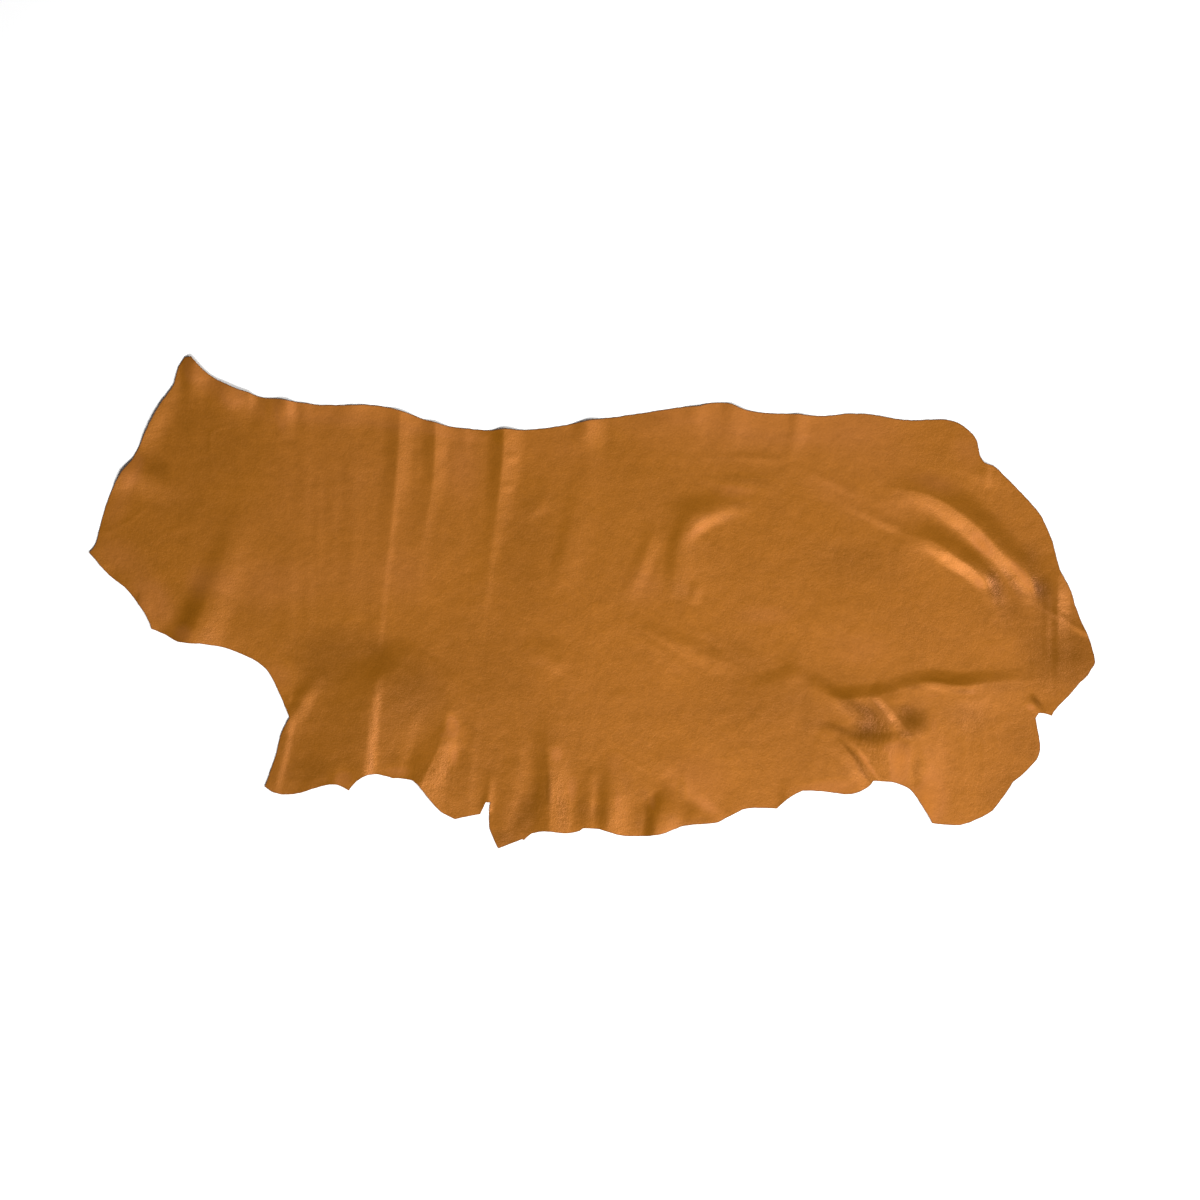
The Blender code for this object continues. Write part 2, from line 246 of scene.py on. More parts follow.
# The folds and creases, each a soft ridge along its crest, a smooth line through the points
# given, which are x, y and the ridge's height there. left and right are its widths on the two
# sides of the crest, seen along it from its first point, and narrows is what is left of them at
# its end; sharp goes from 0, a round crest, to 1, a creased one.
FOLD_COLUMNS = "fold crest left right narrows sharp"
MAIN_FOLDS = table(
    FOLD_COLUMNS,
    ("withers 1", ((-441, 455, 4.6), (-445, 370, 5.2), (-450, 300, 4.6), (-456, 230, 2.4), (-463, 160, 0.8), (-470, 100, 0)), 44, 40, 0.8, 0.5),
    ("withers 2", ((-361, 425, 5.6), (-362, 350, 5.2), (-365, 290, 3.4), (-372, 240, 1.6), (-382, 190, 0.5), (-390, 130, 0)), 42, 36, 0.7, 0.5),
    ("withers 3", ((-203, 410, 8.2), (-205, 340, 7.4), (-212, 270, 5.2), (-220, 200, 2.4), (-228, 150, 0.9), (-235, 100, 0.4), (-242, 40, 0)), 60, 42, 0.6, 0.5),
    ("back nick", ((-14, 435, 7.4), (-11, 395, 5.4), (-6, 350, 1.6), (-4, 300, 0.6), (-4, 240, 0)), 54, 44, 0.8, 0.2),
    ("neck tip", ((-909, 580, 10.0), (-913, 530, 8.0), (-918, 485, 2.4), (-922, 445, 0)), 62, 36, 1, 0),
    ("neck corner", ((-831, 520, 8.0), (-829, 480, 6.8), (-831, 440, 2.2), (-835, 400, 0)), 52, 72, 1, 0),
    ("neck side", ((-1105, 306, 7.2), (-1060, 301, 7.4), (-1028, 286, 5.4), (-995, 272, 3.2), (-955, 264, 1.2), (-915, 284, 0)), 62, 66, 0.7, 0.1),
    ("neck edge", ((-983, 532, 4.2), (-1014, 460, 7.2), (-1048, 392, 5.8), (-1068, 340, 0)), 72, 50, 1, 0),
    ("brisket", ((-938, -115, 5.2), (-907, -50, 6.8), (-884, 0, 7.0), (-862, 50, 5.8), (-845, 100, 3.8), (-826, 160, 1.8), (-800, 215, 0)), 70, 88, 0.6, 0),
    ("brisket roll", ((-940, -115, 5.0), (-909, -50, 5.4), (-888, -5, 2.6), (-872, 30, 0)), 44, 180, 1, 0.1),
    ("fore notch", ((-697, -276, 1.8), (-674, -242, 2.6), (-657, -210, 2.4), (-641, -184, 1.3), (-600, -150, 0)), 30, 34, 1, 0.25),
    ("fore shank", ((-696, -245, 1.2), (-703, -310, 2.3), (-713, -360, 2.3), (-724, -400, 2.0), (-733, -450, 1.4)), 20, 74, 1, 0.2),
    ("elbow", ((-660, -178, 0), (-600, -182, 0.8), (-545, -188, 2.4), (-500, -186, 5.4), (-458, -166, 6.8), (-428, -138, 4.2), (-400, -98, 0)), 72, 200, 1, 0),
    ("chest 1", ((-493, -148, 0), (-498, -180, 2.0), (-504, -215, 3.5), (-514, -290, 4.6), (-522, -350, 5.2), (-530, -415, 5.8)), 24, 100, 1.5, 0.2),
    ("chest 2", ((-326, -205, 0), (-335, -255, 1.4), (-345, -310, 3.4), (-361, -350, 5.2), (-383, -395, 6.2), (-402, -440, 6.2)), 50, 62, 1, 0.4),
    ("chest notch", ((-241, -470, 2.8), (-237, -430, 2.0), (-234, -385, 0)), 20, 18, 1, 0.4),
    ("belly 1", ((-103, -250, 0), (-104, -290, 1.2), (-105, -320, 3.0), (-102, -345, 4.8), (-99, -400, 7.6), (-98, -470, 7.6), (-97, -545, 7.2)), 50, 38, 1.4, 0.42),
    ("belly 2", ((43, -335, 0), (42, -380, 1.2), (42, -410, 3.0), (41, -450, 5.2), (37, -490, 6.2), (29, -545, 6.4)), 50, 34, 1.2, 0.15),
    ("belly 3", ((168, -403, 0), (167, -450, 3.0), (154, -490, 6.6), (143, -550, 8.2)), 62, 34, 1, 0.1),
    ("belly 4", ((138, -446, 0), (160, -474, 3.0), (192, -496, 5.0), (226, -510, 4.8), (258, -520, 2.2), (290, -534, 0)), 56, 90, 1, 0.1),
    ("oval", ((370, 222, 0), (328, 222, 2.1), (284, 210, 4.8), (250, 193, 5.4), (225, 172, 4.2), (210, 148, 2.2), (203, 118, 1.1), (202, 80, 1.0), (206, 40, 0.8), (214, 5, 0)), 37, 60, 1, 0.1),
    ("oval roll", ((262, 210, 0), (224, 188, 2.0), (206, 152, 3.8), (197, 112, 3.8), (193, 72, 3.4), (194, 40, 2.0), (197, 10, 0)), 130, 32, 1, 0.2),
    ("centre", ((150, 178, 0), (132, 135, 1.9), (117, 95, 2.2), (100, 52, 1.6), (84, 10, 0)), 32, 30, 1, 0.2),
    ("rump 1", ((670, 262, 0), (722, 259, 3.6), (765, 251, 6.2), (806, 233, 8.6), (848, 206, 10.9), (883, 178, 12.3), (911, 150, 12.9), (938, 121, 12.6), (961, 98, 11.6), (980, 77, 10.6), (997, 50, 8.8), (1010, 22, 5.2), (1021, -10, 2.0), (1031, -52, 0)), 58, 50, 0.95, 0.38),
    ("rump 2", ((700, 158, 0), (744, 152, 2.0), (786, 140, 6.0), (817, 120, 8.8), (846, 100, 9.6), (874, 82, 9.6), (897, 60, 8.2), (911, 35, 4.6), (920, 2, 2.0), (928, -38, 0.8), (932, -85, 0)), 52, 42, 0.8, 0.3),
    ("flank 1", ((440, -168, 0), (500, -192, 0.9), (540, -212, 3.0), (580, -221, 5.6), (620, -219, 4.6), (660, -213, 3.0), (700, -202, 3.2), (740, -190, 4.0), (780, -182, 3.8), (810, -186, 5.2), (840, -191, 6.4), (870, -190, 5.8), (910, -185, 4.0), (960, -181, 2.6), (1010, -178, 1.4), (1060, -174, 0)), 34, 130, 1, 0.4),
    ("flank 2", ((560, -312, 0), (585, -336, 1.6), (608, -362, 2.8), (628, -392, 3.6), (646, -424, 3.8)), 20, 34, 1, 0.3),
    ("flank 3", ((640, -196, 0), (659, -213, 2.4), (680, -232, 3.8), (700, -256, 4.4), (714, -278, 4.0), (726, -299, 2.2), (737, -320, 0.8), (748, -345, 0)), 40, 26, 1, 0.1),
    ("hind shank", ((702, -319, 0), (718, -316, 2.2), (734, -312, 5.2), (749, -308, 6.2), (766, -303, 4.6), (786, -296, 2.0), (808, -290, 0)), 64, 120, 1, 0),
    ("hind notch", ((1010, -210, 0), (1023, -230, 2.8), (1037, -256, 3.4)), 12, 28, 1, 0.3),
)
CREASES = table(
    FOLD_COLUMNS,
    # the neck: pulls along its cut edge, and fine growth lines
    ("neck pull 1", ((-791, 505, 5.0), (-789, 470, 3.8), (-788, 445, 1.4), (-788, 412, 0)), 24, 36, 1, 0.2),
    ("neck pull 2", ((-721, 484, 2.2), (-744, 435, 1.7), (-764, 380, 0)), 70, 38, 1, 0),
    ("neck pull 3", ((-704, 482, 5.0), (-702, 445, 4.6), (-700, 410, 2.4), (-699, 375, 0)), 28, 36, 1, 0.2),
    ("neck pull 4", ((-662, 470, 1.8), (-660, 430, 0.9), (-658, 385, 0)), 24, 26, 1, 0.2),
    ("neck pull 5", ((-544, 470, 2.0), (-563, 430, 1.9), (-590, 385, 1.0), (-612, 345, 0)), 50, 36, 1, 0.1),
    ("growth 1", ((-1130, 158, 0.2), (-1080, 177, 0.35), (-1050, 197, 0.35), (-1015, 227, 0)), 12, 9, 1, 0.3),
    ("growth 2", ((-1048, 124, 0), (-1000, 147, 0.12), (-950, 167, 0.12), (-900, 208, 0)), 14, 10, 1, 0.3),
    ("growth 3", ((-869, 285, 0), (-878, 375, 0.5), (-860, 400, 0.5), (-825, 405, 0)), 9, 9, 1, 0.4),
    ("brisket edge", ((-1040, -2, 2.2), (-1024, -60, 3.0)), 32, 24, 1, 0.1),
    ("brisket crease", ((-1020, 70, 0), (-1004, 20, 0.9), (-985, -20, 0.9), (-975, -60, 0)), 26, 34, 1, 0.1),
    # the withers: faint lines from rolling, and small folds beside the main ones
    ("withers line 1", ((-450, 300, 0), (-458, 230, 1.0), (-465, 160, 1.3), (-471, 100, 1.4), (-478, 50, 1.3), (-484, -10, 1.2), (-490, -80, 0.9), (-494, -130, 0)), 20, 100, 0.8, 0.4),
    ("withers line 2", ((-368, 260, 0), (-380, 200, 0.9), (-389, 150, 0.8), (-396, 100, 0.6), (-403, 40, 0.4), (-408, -30, 0)), 26, 50, 0.8, 0.4),
    ("withers line 3", ((-216, 220, 0), (-228, 150, 0.8), (-235, 100, 1.0), (-241, 50, 1.1), (-246, 0, 0.8), (-250, -50, 0)), 24, 70, 0.8, 0.4),
    ("roll 1", ((-699, 170, 0), (-697, 60, 1.2), (-695, -30, 1.2), (-693, -120, 0)), 34, 44, 1, 0),
    ("roll 2", ((-662, 420, 0), (-660, 250, 0.8), (-658, 120, 0.5), (-654, 0, 0.8), (-652, -130, 0)), 22, 34, 1, 0.1),
    ("roll 3", ((-633, 330, 0), (-632, 180, 0.5), (-634, 20, 0)), 18, 26, 1, 0.2),
    ("roll 4", ((-590, 360, 0), (-592, 240, 0.6), (-594, 60, 0)), 20, 26, 1, 0.2),
    ("roll 5", ((-556, 410, 0.3), (-552, 280, 1.4), (-549, 140, 1.4), (-556, 20, 0.7), (-562, -80, 0)), 40, 40, 1, 0.1),
    ("roll 6", ((-512, 300, 0), (-514, 160, 0.6), (-518, 0, 0)), 22, 30, 1, 0.2),
    ("roll 7", ((-340, 250, 0), (-346, 120, 0.5), (-352, 0, 0)), 24, 32, 1, 0.2),
    ("roll 8", ((-300, 240, 0), (-303, 120, 0.5), (-306, -20, 0)), 30, 40, 1, 0.1),
    ("back pull", ((-291, 410, 1.3), (-291, 370, 0.8), (-290, 320, 0)), 18, 24, 1, 0.3),
    ("small fold", ((-164, 186, 0), (-138, 208, 0.9), (-110, 232, 0.5), (-84, 250, 0)), 50, 26, 1, 0.2),
    ("saddle", ((-22, 330, 0), (-34, 240, 1.0), (-50, 160, 2.2), (-62, 110, 2.4), (-70, 70, 1.6), (-76, 20, 0)), 64, 34, 1, 0.1),
    # the fore shank and chest
    ("shank pad", ((-640, -300, 0), (-633, -380, 2.4), (-628, -440, 3.0)), 70, 70, 1, 0),
    ("shank dent", ((-592, -370, 0), (-592, -432, 1.8)), 16, 24, 1, 0.2),
    ("chest line", ((-408, -245, 0), (-424, -310, 0.8), (-438, -365, 0.7), (-450, -412, 1.0)), 22, 34, 1, 0.2),
    ("chest split", ((-332, -325, 0), (-350, -385, 1.0), (-369, -480, 1.8)), 30, 34, 1, 0.1),
    ("chest pull", ((-266, -180, 0), (-270, -300, 0.5), (-282, -400, 1.0), (-286, -490, 0.8)), 20, 36, 1, 0.2),
    ("belly point", ((-202, -380, 0), (-198, -450, 0.8), (-208, -520, 0.6), (-214, -570, 0.3)), 26, 40, 1, 0.2),
    # the back's edge, and lines under it
    ("loin pull 1", ((240, 464, 3.0), (242, 430, 2.6), (244, 395, 0.8), (246, 350, 0)), 36, 42, 1, 0.1),
    ("loin pull 2", ((324, 466, 3.6), (326, 425, 3.2), (328, 385, 1.4), (330, 345, 0)), 72, 34, 1, 0.1),
    ("loin pull 3", ((474, 442, 3.2), (470, 400, 2.6), (464, 360, 1.0), (461, 325, 0)), 36, 24, 1, 0.1),
    ("back line 1", ((170, 327, 0), (280, 330, 0.3), (340, 332, 0.35), (395, 330, 0.6), (430, 328, 0.3), (455, 327, 0)), 20, 12, 1, 0.2),
    ("back line 2", ((285, 290, 0), (345, 286, 0.9), (400, 274, 0.9), (445, 258, 0)), 40, 38, 1, 0.1),
    ("back line 3", ((90, 394, 0), (140, 406, 1.0), (185, 416, 0.6), (215, 424, 0)), 44, 30, 1, 0),
    ("oval dent", ((236, 48, 0), (236, 22, 1.6), (234, -6, 0)), 24, 17, 1, 0),
    # the middle of the belly
    ("pipe 1", ((85, -58, 0), (140, -72, 1.6), (190, -92, 1.9), (240, -112, 1.9), (290, -132, 1.4), (335, -140, 0)), 34, 42, 1, 0.2),
    ("pipe 2", ((112, -84, 0), (150, -108, 1.2), (190, -134, 1.0), (220, -154, 0)), 20, 34, 1, 0.2),
    ("pipe 3", ((228, -44, 0), (275, -74, 0.4), (320, -102, 0.5), (365, -130, 0.5), (400, -152, 0)), 22, 24, 1, 0.2),
    ("pipe 4", ((318, -188, 0), (385, -196, 1.2), (430, -188, 2.2), (475, -180, 3.0), (525, -202, 1.6), (570, -216, 0)), 42, 130, 1, 0.1),
    ("pipe 5", ((-160, -96, 0), (-110, -116, 1.5), (-75, -136, 1.9), (-50, -170, 1.3), (-30, -215, 0)), 60, 46, 1, 0),
    ("belly pull 1", ((-4, -370, 0), (-5, -420, 2.0), (-7, -480, 3.0), (-8, -540, 3.2)), 26, 44, 1, 0.1),
    ("belly pull 2", ((318, -515, 1.3), (320, -450, 0)), 20, 20, 1, 0.2),
    ("belly pull 3", ((446, -470, 2.4), (444, -400, 0)), 24, 26, 1, 0.2),
    ("belly pull 5", ((-164, -290, 0), (-169, -350, 1.0), (-176, -420, 1.2), (-190, -480, 0.9), (-200, -530, 0.6)), 26, 40, 1, 0.1),
    ("belly seam", ((40, -328, 0), (95, -366, 0.35), (150, -403, 0)), 10, 10, 1, 0.4),
    ("belly shelf", ((140, -350, 0), (190, -382, 1.8), (240, -424, 2.6), (310, -484, 2.0)), 80, 42, 1, 0.1),
    # the rump
    ("rump line 1", ((494, 302, 0), (539, 282, 0.8), (584, 260, 0.9), (634, 228, 0)), 22, 18, 1, 0.2),
    ("rump line 2", ((560, 242, 0), (616, 212, 1.0), (662, 188, 1.4), (708, 168, 1.3), (762, 148, 0)), 26, 20, 1, 0.2),
    ("rump foot", ((640, 140, 0), (690, 138, 0.6), (730, 134, 1.2), (775, 126, 0.6)), 36, 70, 1, 0),
    ("tail line 1", ((820, 328, 0), (865, 303, 0.8), (905, 286, 1.1), (950, 266, 0.4)), 34, 24, 1, 0.1),
    ("tail line 2", ((908, 320, 1.0), (907, 290, 1.0), (904, 255, 0)), 18, 22, 1, 0.2),
    ("rump edge 1", ((1073, 60, 0.6), (1071, 0, 1.6), (1070, -60, 1.9), (1071, -140, 1.4), (1071, -190, 0)), 44, 15, 1, 0.3),
    ("rump edge 2", ((1047, 40, 0), (1046, -60, 0.7), (1047, -165, 0)), 20, 13, 1, 0.3),
    ("rump crease", ((1010, 6, 0), (1045, -16, 0.7), (1080, -37, 0.8), (1110, -55, 1.0), (1142, -72, 1.5)), 18, 12, 1, 0.3),
    # the flank and hind shank
    ("flank lip", ((752, -186, 0), (785, -184, 1.9), (818, -189, 1.3), (860, -195, 0.3), (895, -197, 0)), 14, 26, 1, 0.1),
    ("flank line 1", ((818, -221, 0), (865, -223, 0.5), (915, -221, 0)), 11, 26, 1, 0.3),
    ("flank line 2", ((520, -196, 0), (560, -216, 0.9), (596, -238, 1.3), (624, -262, 1.2), (642, -286, 0)), 22, 44, 1, 0.1),
    ("flank fold", ((526, -286, 0), (553, -300, 1.4), (579, -312, 2.8), (606, -325, 3.8), (632, -335, 3.8), (660, -340, 2.2), (690, -342, 0)), 46, 110, 1, 0.1),
    ("hind pull 1", ((684, -300, 0), (684, -335, 3.2), (686, -420, 3.2)), 36, 60, 1, 0),
    ("hind pull 2", ((718, -316, 0), (718, -350, 1.5), (720, -430, 1.5)), 26, 26, 1, 0),
    ("hind pull 3", ((762, -318, 0), (762, -370, 1.8), (767, -440, 1.4), (776, -520, 0.8)), 60, 26, 1, 0),
    ("hind pull 4", ((846, -240, 0), (858, -330, 0.35), (856, -450, 0)), 14, 20, 1, 0.2),
    ("growth 4", ((906, -230, 0), (926, -300, 0.45), (938, -340, 0.45), (952, -400, 0)), 11, 11, 1, 0.3),
    ("growth 5", ((884, -250, 0), (900, -330, 0.35), (902, -440, 0)), 12, 12, 1, 0.3),
    ("flank lip 2", ((584, -312, 0), (606, -328, 1.3), (628, -350, 2.0), (642, -373, 2.0), (664, -408, 1.6)), 30, 12, 0.7, 0.3),
    ("rump rise", ((1058, 112, 0), (1062, 70, 2.4), (1065, 30, 3.6), (1067, -20, 2.4), (1070, -80, 0)), 36, 62, 1, 0.1),
)

# Low mounds, and where the cut edge curls up: the middle, the reach along X and Y, and the height.
MOUNDS = table(
    "place x y across along rise",
    ("neck point", -1156, 115, 90, 90, 2.0),
    ("fore shank tip", -745, -430, 80, 80, 2),
    ("chest jag", -559, -433, 60, 60, 3),
    ("belly point", -215, -566, 85, 85, 1.5),
    ("hind shank tip", 782, -507, 120, 120, 2.5),
    ("hind hook", 1057, -261, 45, 45, 2),
    ("rump point", 1157, -134, 110, 110, 2.5),
    ("tail", 900, 322, 70, 70, 2),
    ("withers 3 bead 1", -186, 334, 26, 16, 0.7),
    ("withers 3 bead 2", -200, 266, 26, 16, 0.6),
    ("chest 2 bead", -330, -316, 44, 44, 2.1),
    ("oval corner", 216, 214, 60, 46, 2.4),
    ("flank bead", 460, -152, 48, 44, 1.6),
    ("hollow bead", -84, -140, 34, 26, 0.4),
    ("fore bead", -668, -212, 30, 24, 0.8),
)


# Where the grain side's colour is darker (below 0) or paler: partly real wear and stains, and partly painted shade in
# pockets, creases and on slopes turned from the light, with painted highlights on slopes turned toward it;
# and where the leather is loose, with fine creping: the middle, the reach each way, how far it is turned, and how much.
TONE_PATCHES_AND_PAINTED_LIGHT = table(
    "place x y across along turn amount",
    ("fore belly", -700, -400, 560, 330, 0, -0.36),
    ("chest", -480, -260, 320, 240, 0, -0.18),
    ("loin", 640, -160, 420, 260, 0, -0.12),
    ("rump", 1000, 0, 220, 300, 0, -0.3),
    ("back", 200, 400, 760, 190, 0, 0.22),
    ("flank dimple", 732, -268, 72, 64, 0, -1.1),
    ("flank crease", 603, -353, 60, 9, -48, -0.9),
    ("hind notch", 1022, -230, 30, 11, -52, -0.9),
    ("belly wedge", -136, -470, 40, 84, -18, -0.6),
    ("belly wedge 2", 130, -498, 20, 60, 8, -0.4),
    ("belly wedge 3", 30, -480, 20, 64, 4, -0.3),
    ("rump wedge", 929, 34, 28, 58, 12, -1.45),
    ("rump end", 1010, 106, 42, 50, 20, -0.55),
    ("hind shank", 800, -360, 110, 150, 0, 0.2),
    ("belly light", -67, -482, 24, 80, 0, -0.5),
    ("chest band", -590, -110, 180, 86, 0, -0.6),
    ("rump edge", 1046, 4, 40, 60, 0, -0.45),
    ("rump light", 986, 66, 18, 70, 40, 1.1),
    ("rump point", 1092, -90, 150, 170, 0, -0.58),
    ("withers", -560, 260, 460, 300, 0, 0.2),
    ("mid belly", -200, -360, 400, 280, 0, -0.24),
    ("flank", 480, -300, 280, 220, 0, -0.22),
    ("withers edge", -560, 450, 330, 62, 0, 0.75),
    ("neck edge", -860, 510, 120, 60, -30, 0.4),
    ("neck", -850, 330, 180, 170, 0, -0.2),
    ("neck point", -1085, 105, 90, 60, -20, 0.3),
    ("brisket edge", -1012, 5, 64, 96, 30, 0.65),
    ("brisket", -750, 40, 140, 96, 0, 0.3),
    ("saddle", -300, 310, 70, 130, 0, 0.35),
    ("saddle 2", -150, 130, 120, 190, 0, -0.35),
    ("chest 1", -415, -200, 130, 110, 0, -0.55),
    ("chest 2", -428, -350, 44, 80, 0, 0.2),
    ("chest jag", -574, -405, 50, 40, 0, 0.95),
    ("belly tip", -168, -505, 60, 96, 0, -0.6),
    ("belly shelf", 240, -400, 130, 90, 0, 0.3),
    ("flank edge", 540, -428, 120, 30, 6, 0.6),
    ("loin edge", 480, 425, 340, 100, 0, 0.6),
    ("navel", 400, -30, 110, 34, 0, 0.3),
    ("navel 2", 380, -240, 330, 80, 0, -0.25),
    ("loin 2", 620, -110, 150, 80, 0, 0.3),
    ("loin 3", 930, -110, 90, 60, 0, 0.25),
    ("rump low", 600, 96, 200, 80, 0, -0.42),
    ("rump high", 560, 252, 110, 54, -25, 0.25),
    ("rump start", 790, 274, 90, 34, -15, 0.45),
    ("rump end 2", 1030, 36, 38, 50, 15, -1.15),
    ("rump point 2", 1124, -150, 90, 110, 30, -0.45),
    ("hind low", 862, -262, 90, 66, 0, -0.55),
    ("neck side", -1062, 300, 40, 46, 0, 0.5),
    ("neck side 2", -995, 308, 40, 34, 0, -0.35),
    ("navel 3", 340, -118, 140, 50, -15, -0.35),
    ("middle", 120, 40, 70, 70, 0, 0.25),
    ("flank tail", 945, -196, 90, 20, 0, -0.35),
    ("hind pull", 705, -366, 42, 84, 0, 1.0),
    ("hind pull 3", 774, -455, 60, 90, 0, 1.0),
    ("hind side", 900, -310, 130, 120, 0, -0.1),
    ("fore shank", -640, -385, 90, 50, 0, -0.4),
    ("mid belly 2", -270, -110, 220, 120, 0, -0.25),
    ("mid back", -560, 50, 320, 90, 0, 0.15),
    ("flank pocket", 643, -276, 62, 76, -25, -1.05),
    ("flank pocket 2", 664, -302, 84, 34, -8, -0.4),
    ("flank streak", 702, -275, 48, 13, -54, 0.35),
    ("flank top", 610, -240, 66, 22, -26, -0.9),
    ("flank line", 576, -294, 76, 15, -20, -0.7),
    ("flank start", 530, -215, 54, 38, -35, 0.35),
    ("neck corner", -1052, 325, 34, 34, 0, 0.6),
    ("chest low", -620, -175, 84, 52, 0, -0.4),
    ("brisket fold", -872, 50, 66, 64, 0, 0.35),
    ("rump side", 1040, -140, 70, 110, 0, -0.3),
    ("hind edge", 990, -300, 76, 100, 0, -0.35),
    ("back edge", 40, 370, 90, 56, 0, -0.25),
    ("belly gap", -22, -475, 28, 64, 0, -0.5),
    ("belly end", -205, -545, 46, 36, 0, -0.8),
    ("flank pocket 4", 630, -288, 44, 40, 0, -0.45),
    ("hind gap", 748, -388, 28, 64, 0, -0.5),
    ("hind edge 2", 955, -440, 90, 80, 40, -0.4),
    ("hind light", 1009, -242, 18, 13, -20, 0.9),
    ("fore edge", -718, -175, 60, 80, 0, 0.35),
    ("elbow", -498, -108, 50, 46, 0, -0.4),
    ("withers top", -430, 425, 130, 56, -8, 0.5),
    ("back top", 230, 440, 150, 40, 8, 0.4),
    ("tail edge", 868, 350, 60, 60, 0, 0.35),
    ("back line", 350, 280, 110, 22, -6, -0.45),
    ("oval line", 250, 190, 30, 12, 20, -0.4),
    ("rump light 2", 898, 132, 26, 56, 42, 1.1),
    ("rump beyond", 960, -20, 50, 60, 0, -0.35),
    ("flank light", 674, -330, 22, 24, 0, 0.4),
    ("disc side", 783, -272, 18, 44, 0, 0.4),
    ("disc top", 726, -246, 30, 14, -20, -0.3),
    ("chest edge", -452, -390, 66, 26, 0, 0.75),
    ("neck rim", -1082, 240, 120, 36, 66, 0.25),
    ("neck mid", -942, 440, 60, 90, 0, -0.25),
    ("growth", -945, 235, 80, 60, 0, -0.25),
    ("neck tip", -922, 540, 26, 50, 0, 0.6),
    ("brisket point", -940, -72, 34, 32, 0, 0.6),
    ("brisket foot", -884, -74, 26, 30, 0, -0.4),
    ("brisket side", -910, 45, 40, 60, 0, 0.3),
    ("shoulder", -430, 70, 80, 100, 0, 0.18),
    ("belly side", -195, -190, 120, 90, 0, -0.22),
    ("belly side 2", 340, -178, 140, 60, 0, -0.2),
    ("back right", 650, 330, 160, 110, 0, 0.18),
    ("rump wedge 2", 917, 60, 26, 26, 0, -0.5),
    ("rump foot", 974, 36, 16, 44, 35, -0.6),
    ("rump tip", 1018, 48, 14, 40, 25, -0.45),
    ("shank foot", 722, -302, 24, 12, -10, -0.5),
    ("chest side", -378, -335, 44, 70, -20, 0.4),
    ("belly start", -82, -350, 26, 30, 0, 0.8),
    ("belly side 3", -46, -430, 26, 60, 0, 0.55),
    ("belly step", 206, -430, 16, 44, 0, -0.55),
    ("belly step 2", 120, -440, 22, 24, 0, -0.4),
    ("belly step 3", 184, -496, 24, 20, 0, -0.5),
    ("flank start 2", 512, -280, 44, 26, 0, -0.4),
    ("hide middle", -180, 20, 110, 110, 0, -0.15),
    ("rump light 3", 1006, 34, 10, 26, 35, 0.7),
    ("rump light 4", 892, 44, 26, 20, -40, 0.7),
    ("rump side 2", 690, 215, 120, 64, 0, 0.18),
    ("flank crease 2", 622, -388, 44, 10, -54, -0.8),
    ("flank stripe", 632, -371, 48, 8, -55, 1.2),
    ("flank lip", 860, -205, 48, 10, 0, -0.85),
    ("flank lip 2", 742, -195, 28, 9, 0, -0.55),
    ("flank lip 3", 785, -214, 30, 10, 0, 0.35),
    ("flank top 2", 586, -246, 50, 12, -45, -0.35),
    ("flank top 3", 703, -229, 26, 14, 0, 0.45),
    ("flank end", 535, -305, 26, 16, 0, 0.4),
    ("flank end 2", 585, -385, 26, 30, 0, -0.3),
    ("chest wedge", -321, -286, 26, 46, 6, 1.2),
    ("chest wedge 2", -317, -355, 20, 46, -5, 0.8),
    ("neck light", -828, 475, 40, 44, 0, 0.5),
    ("belly step 4", 265, -468, 44, 22, -30, 0.45),
    ("belly step 5", 137, -460, 14, 30, 0, 0.4),
    ("belly step 6", 60, -455, 14, 40, 0, 0.35),
    ("belly step 7", 8, -486, 26, 30, 0, -0.4),
    ("back left", 130, 320, 160, 90, 0, -0.13),
    ("hind pull 1", 678, -372, 14, 52, 0, -0.35),
    ("hind rim", 762, -466, 26, 60, 25, 0.4),
    ("hind rim 2", 1018, -345, 22, 50, 0, -0.4),
    ("rump crease", 1122, -68, 42, 11, -28, 0.8),
    ("rump foot 2", 950, 68, 12, 22, 40, -0.5),
    ("rump tip 2", 1026, 26, 14, 30, 20, -0.35),
    ("belly wedge 4", -99, -432, 12, 62, 0, -0.7),
    ("belly step 8", 50, -372, 36, 50, 0, 0.3),
    ("belly step 9", 80, -420, 18, 44, 0, -0.3),
    ("belly step 10", 108, -506, 16, 40, 0, -0.4),
    ("belly rim", 215, -510, 110, 16, 12, -0.45),
    ("oval line 2", 308, 194, 34, 12, 10, -0.4),
    ("oval light", 243, 165, 54, 14, 38, 0.35),
    ("oval foot", 206, 28, 46, 52, 0, -0.4),
    ("oval top", 335, 226, 52, 18, -5, -0.3),
    ("oval top 2", 325, 258, 66, 26, 0, 0.35),
    ("streak end", 694, -291, 24, 12, -50, 0.5),
    ("streak side", 660, -238, 46, 9, -50, -0.4),
    ("chest wedge 3", -343, -305, 20, 20, 0, 0.5),
    ("chest wedge 4", -292, -305, 18, 44, 0, 0.4),
    ("chest 1 side", -508, -370, 10, 50, 5, -0.45),
    ("chest 1 side 2", -494, -368, 12, 44, 5, 0.4),
    ("neck pull 3", -712, 425, 20, 50, 0, 0.45),
    ("neck pull 2", -742, 445, 18, 34, 0, -0.3),
    ("withers rim", -330, 394, 120, 24, -12, 0.5),
    ("back nick rim", -212, 384, 24, 26, 0, -0.35),
)
LOOSE = table(
    "place x y across along turn amount",
    ("belly 1", -60, -470, 110, 130, 0, 0.5),
    ("belly 2", 60, -500, 110, 90, 0, 0.35),
    ("flank", 660, -330, 130, 120, 0, 0.6),
    ("fore flank", -360, -400, 120, 110, 0, 0.5),
    ("hind shank", 820, -430, 150, 120, 0, 0.4),
    ("neck", -1000, 60, 160, 260, 0, 0.3),
)

